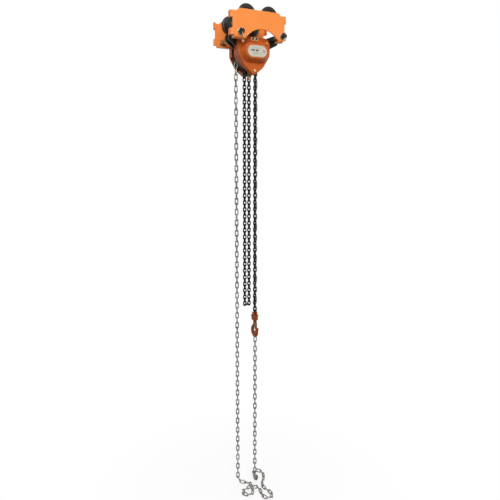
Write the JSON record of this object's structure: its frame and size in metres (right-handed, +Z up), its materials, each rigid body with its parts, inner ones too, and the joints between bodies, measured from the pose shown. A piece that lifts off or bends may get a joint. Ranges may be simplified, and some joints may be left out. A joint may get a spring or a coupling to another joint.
{
  "type": "low headroom trolley hoist",
  "caption": "Manual chain hoist hung low between the side plates of a plain four-wheel beam trolley, with a slack load chain, a swivel hook and an endless hand chain reaching the floor.",
  "frame": {"origin": "on the running surface of the beam flange, midway between the four wheels", "axes": "X along the beam, Y across the beam from the gear side to the hand wheel side, Z up"},
  "size_m": [0.247, 0.3369, 2.1464],
  "materials": {
    "orange_paint": "semi-gloss orange paint",
    "black_paint": "satin black paint",
    "bright_zinc": "zinc plated",
    "yellow_zinc": "yellow zinc plated",
    "oiled_chain": "hardened and oiled chain",
    "zinc_chain": "bright zinc plated chain",
    "machined_steel": "machined steel",
    "friction_lining": "pressed friction lining",
    "plate_white": "off-white plate",
    "bearing_steel": "ground bearing steel",
    "cast_wheel": "cast and zinc flashed"
  },
  "bodies": {
    "trolley_hoist": {"side_plate_front": "orange_paint", "side_plate_rear": "orange_paint", "wheel_bearings": "bearing_steel", "stub_axles": "machined_steel", "axle_circlips": "machined_steel", "suspension_shaft_left": "bright_zinc", "suspension_shaft_right": "bright_zinc", "shaft_nuts": "black_paint", "split_pins": "bright_zinc", "shaft_washers": "bright_zinc", "adjusting_washers": "bright_zinc", "spacer_tubes": "bright_zinc", "hoist_frame_front": "black_paint", "hoist_frame_rear": "black_paint", "stay_bolts": "yellow_zinc", "cover_nuts": "yellow_zinc", "cover_sleeves": "machined_steel", "gear_cover": "orange_paint", "name_plate": "plate_white", "lock_plate": "yellow_zinc", "lock_screws": "black_paint", "sheave_bearings": "bearing_steel", "ratchet_disc": "machined_steel", "pawl_pins": "machined_steel", "pawl_springs": "machined_steel", "hand_wheel_cover": "orange_paint", "sheave_guards": "orange_paint", "chain_guide_pins": "machined_steel", "chain_stripper": "machined_steel", "anchor_cheeks": "black_paint", "anchor_pin": "machined_steel", "load_chain_on_sheave": "oiled_chain", "load_chain_working": "oiled_chain", "load_chain_slack": "oiled_chain", "hand_chain_on_wheel": "zinc_chain", "hand_chain_strands": "zinc_chain", "hand_chain_heap": "zinc_chain"},
    "wheel_left_front": {"wheel_left_front": "black_paint"},
    "wheel_right_front": {"wheel_right_front": "black_paint"},
    "wheel_left_rear": {"wheel_left_rear": "black_paint"},
    "wheel_right_rear": {"wheel_right_rear": "black_paint"},
    "load_sheave": {"load_sheave": "cast_wheel", "load_gear": "machined_steel"},
    "intermediate_left": {"intermediate_gear_left": "machined_steel"},
    "intermediate_right": {"intermediate_gear_right": "machined_steel"},
    "drive": {"drive_shaft": "machined_steel", "friction_hub": "machined_steel", "friction_discs": "friction_lining", "hand_wheel": "cast_wheel", "hand_wheel_nut": "black_paint"},
    "pawl_upper": {"pawl_upper": "machined_steel"},
    "pawl_lower": {"pawl_lower": "machined_steel"},
    "hook_block": {"hook_yoke": "orange_paint", "yoke_bolts": "black_paint", "chain_pin": "machined_steel", "swivel_bearing": "bearing_steel"},
    "hook": {"hook": "orange_paint", "latch_pin": "machined_steel", "latch_spring": "machined_steel"},
    "latch": {"hook_latch": "bright_zinc"}
  },
  "joints": [
    {"name": "wheel_left_front_spin", "type": "hinge", "parent": "trolley_hoist", "child": "wheel_left_front", "pos_m": [-0.048, -0.0735, 0.028], "axis": [0, 1, 0], "continuous": true},
    {"name": "wheel_left_rear_spin", "type": "hinge", "parent": "trolley_hoist", "child": "wheel_left_rear", "pos_m": [-0.048, 0.0735, 0.028], "axis": [0, 1, 0], "continuous": true},
    {"name": "wheel_right_front_spin", "type": "hinge", "parent": "trolley_hoist", "child": "wheel_right_front", "pos_m": [0.048, -0.0735, 0.028], "axis": [0, 1, 0], "continuous": true},
    {"name": "wheel_right_rear_spin", "type": "hinge", "parent": "trolley_hoist", "child": "wheel_right_rear", "pos_m": [0.048, 0.0735, 0.028], "axis": [0, 1, 0], "continuous": true},
    {"name": "drive_spin", "type": "hinge", "parent": "trolley_hoist", "child": "drive", "pos_m": [0.004, 0.041, -0.106], "axis": [0, 1, 0], "continuous": true, "deforming": ["hand_chain_on_wheel", "hand_chain_strands", "hand_chain_heap"]},
    {"name": "load_sheave_spin", "type": "hinge", "parent": "trolley_hoist", "child": "load_sheave", "pos_m": [0.004, 0, -0.106], "axis": [0, 1, 0], "continuous": true, "deforming": ["load_chain_on_sheave", "load_chain_working", "load_chain_slack"]},
    {"name": "intermediate_left_spin", "type": "hinge", "parent": "trolley_hoist", "child": "intermediate_left", "pos_m": [-0.02975, -0.035, -0.106], "axis": [0, 1, 0], "continuous": true},
    {"name": "intermediate_right_spin", "type": "hinge", "parent": "trolley_hoist", "child": "intermediate_right", "pos_m": [0.03775, -0.035, -0.106], "axis": [0, 1, 0], "continuous": true},
    {"name": "pawl_upper_swing", "type": "hinge", "parent": "trolley_hoist", "child": "pawl_upper", "pos_m": [0.02042, 0.0272, -0.06089], "axis": [0, 1, 0], "range_deg": [0, 15], "stiffness_Nm_per_rad": 0.05, "springref_deg": -5.73},
    {"name": "pawl_lower_swing", "type": "hinge", "parent": "trolley_hoist", "child": "pawl_lower", "pos_m": [-0.01242, 0.0272, -0.1511], "axis": [0, 1, 0], "range_deg": [0, 15], "stiffness_Nm_per_rad": 0.05, "springref_deg": -5.73},
    {"name": "hook_tilt", "type": "hinge", "parent": "trolley_hoist", "child": "hook_block", "pos_m": [0.02827, 0, -1.21299], "axis": [1, 0, 0], "range_deg": [-45, 45]},
    {"name": "hook_swivel", "type": "hinge", "parent": "hook_block", "child": "hook", "pos_m": [0.02827, 0, -1.23299], "axis": [0, 0, 1], "continuous": true},
    {"name": "latch_swing", "type": "hinge", "parent": "hook", "child": "latch", "pos_m": [0.02827, -0.0105, -1.25899], "axis": [1, 0, 0], "range_deg": [0, 24], "stiffness_Nm_per_rad": 0.05, "springref_deg": -5.73}
  ],
  "couplings": [
    {"joint": "load_sheave_spin", "follows": "drive_spin", "ratio": 0.081633},
    {"joint": "intermediate_left_spin", "follows": "drive_spin", "ratio": -0.28571},
    {"joint": "intermediate_right_spin", "follows": "drive_spin", "ratio": -0.28571}
  ]
}
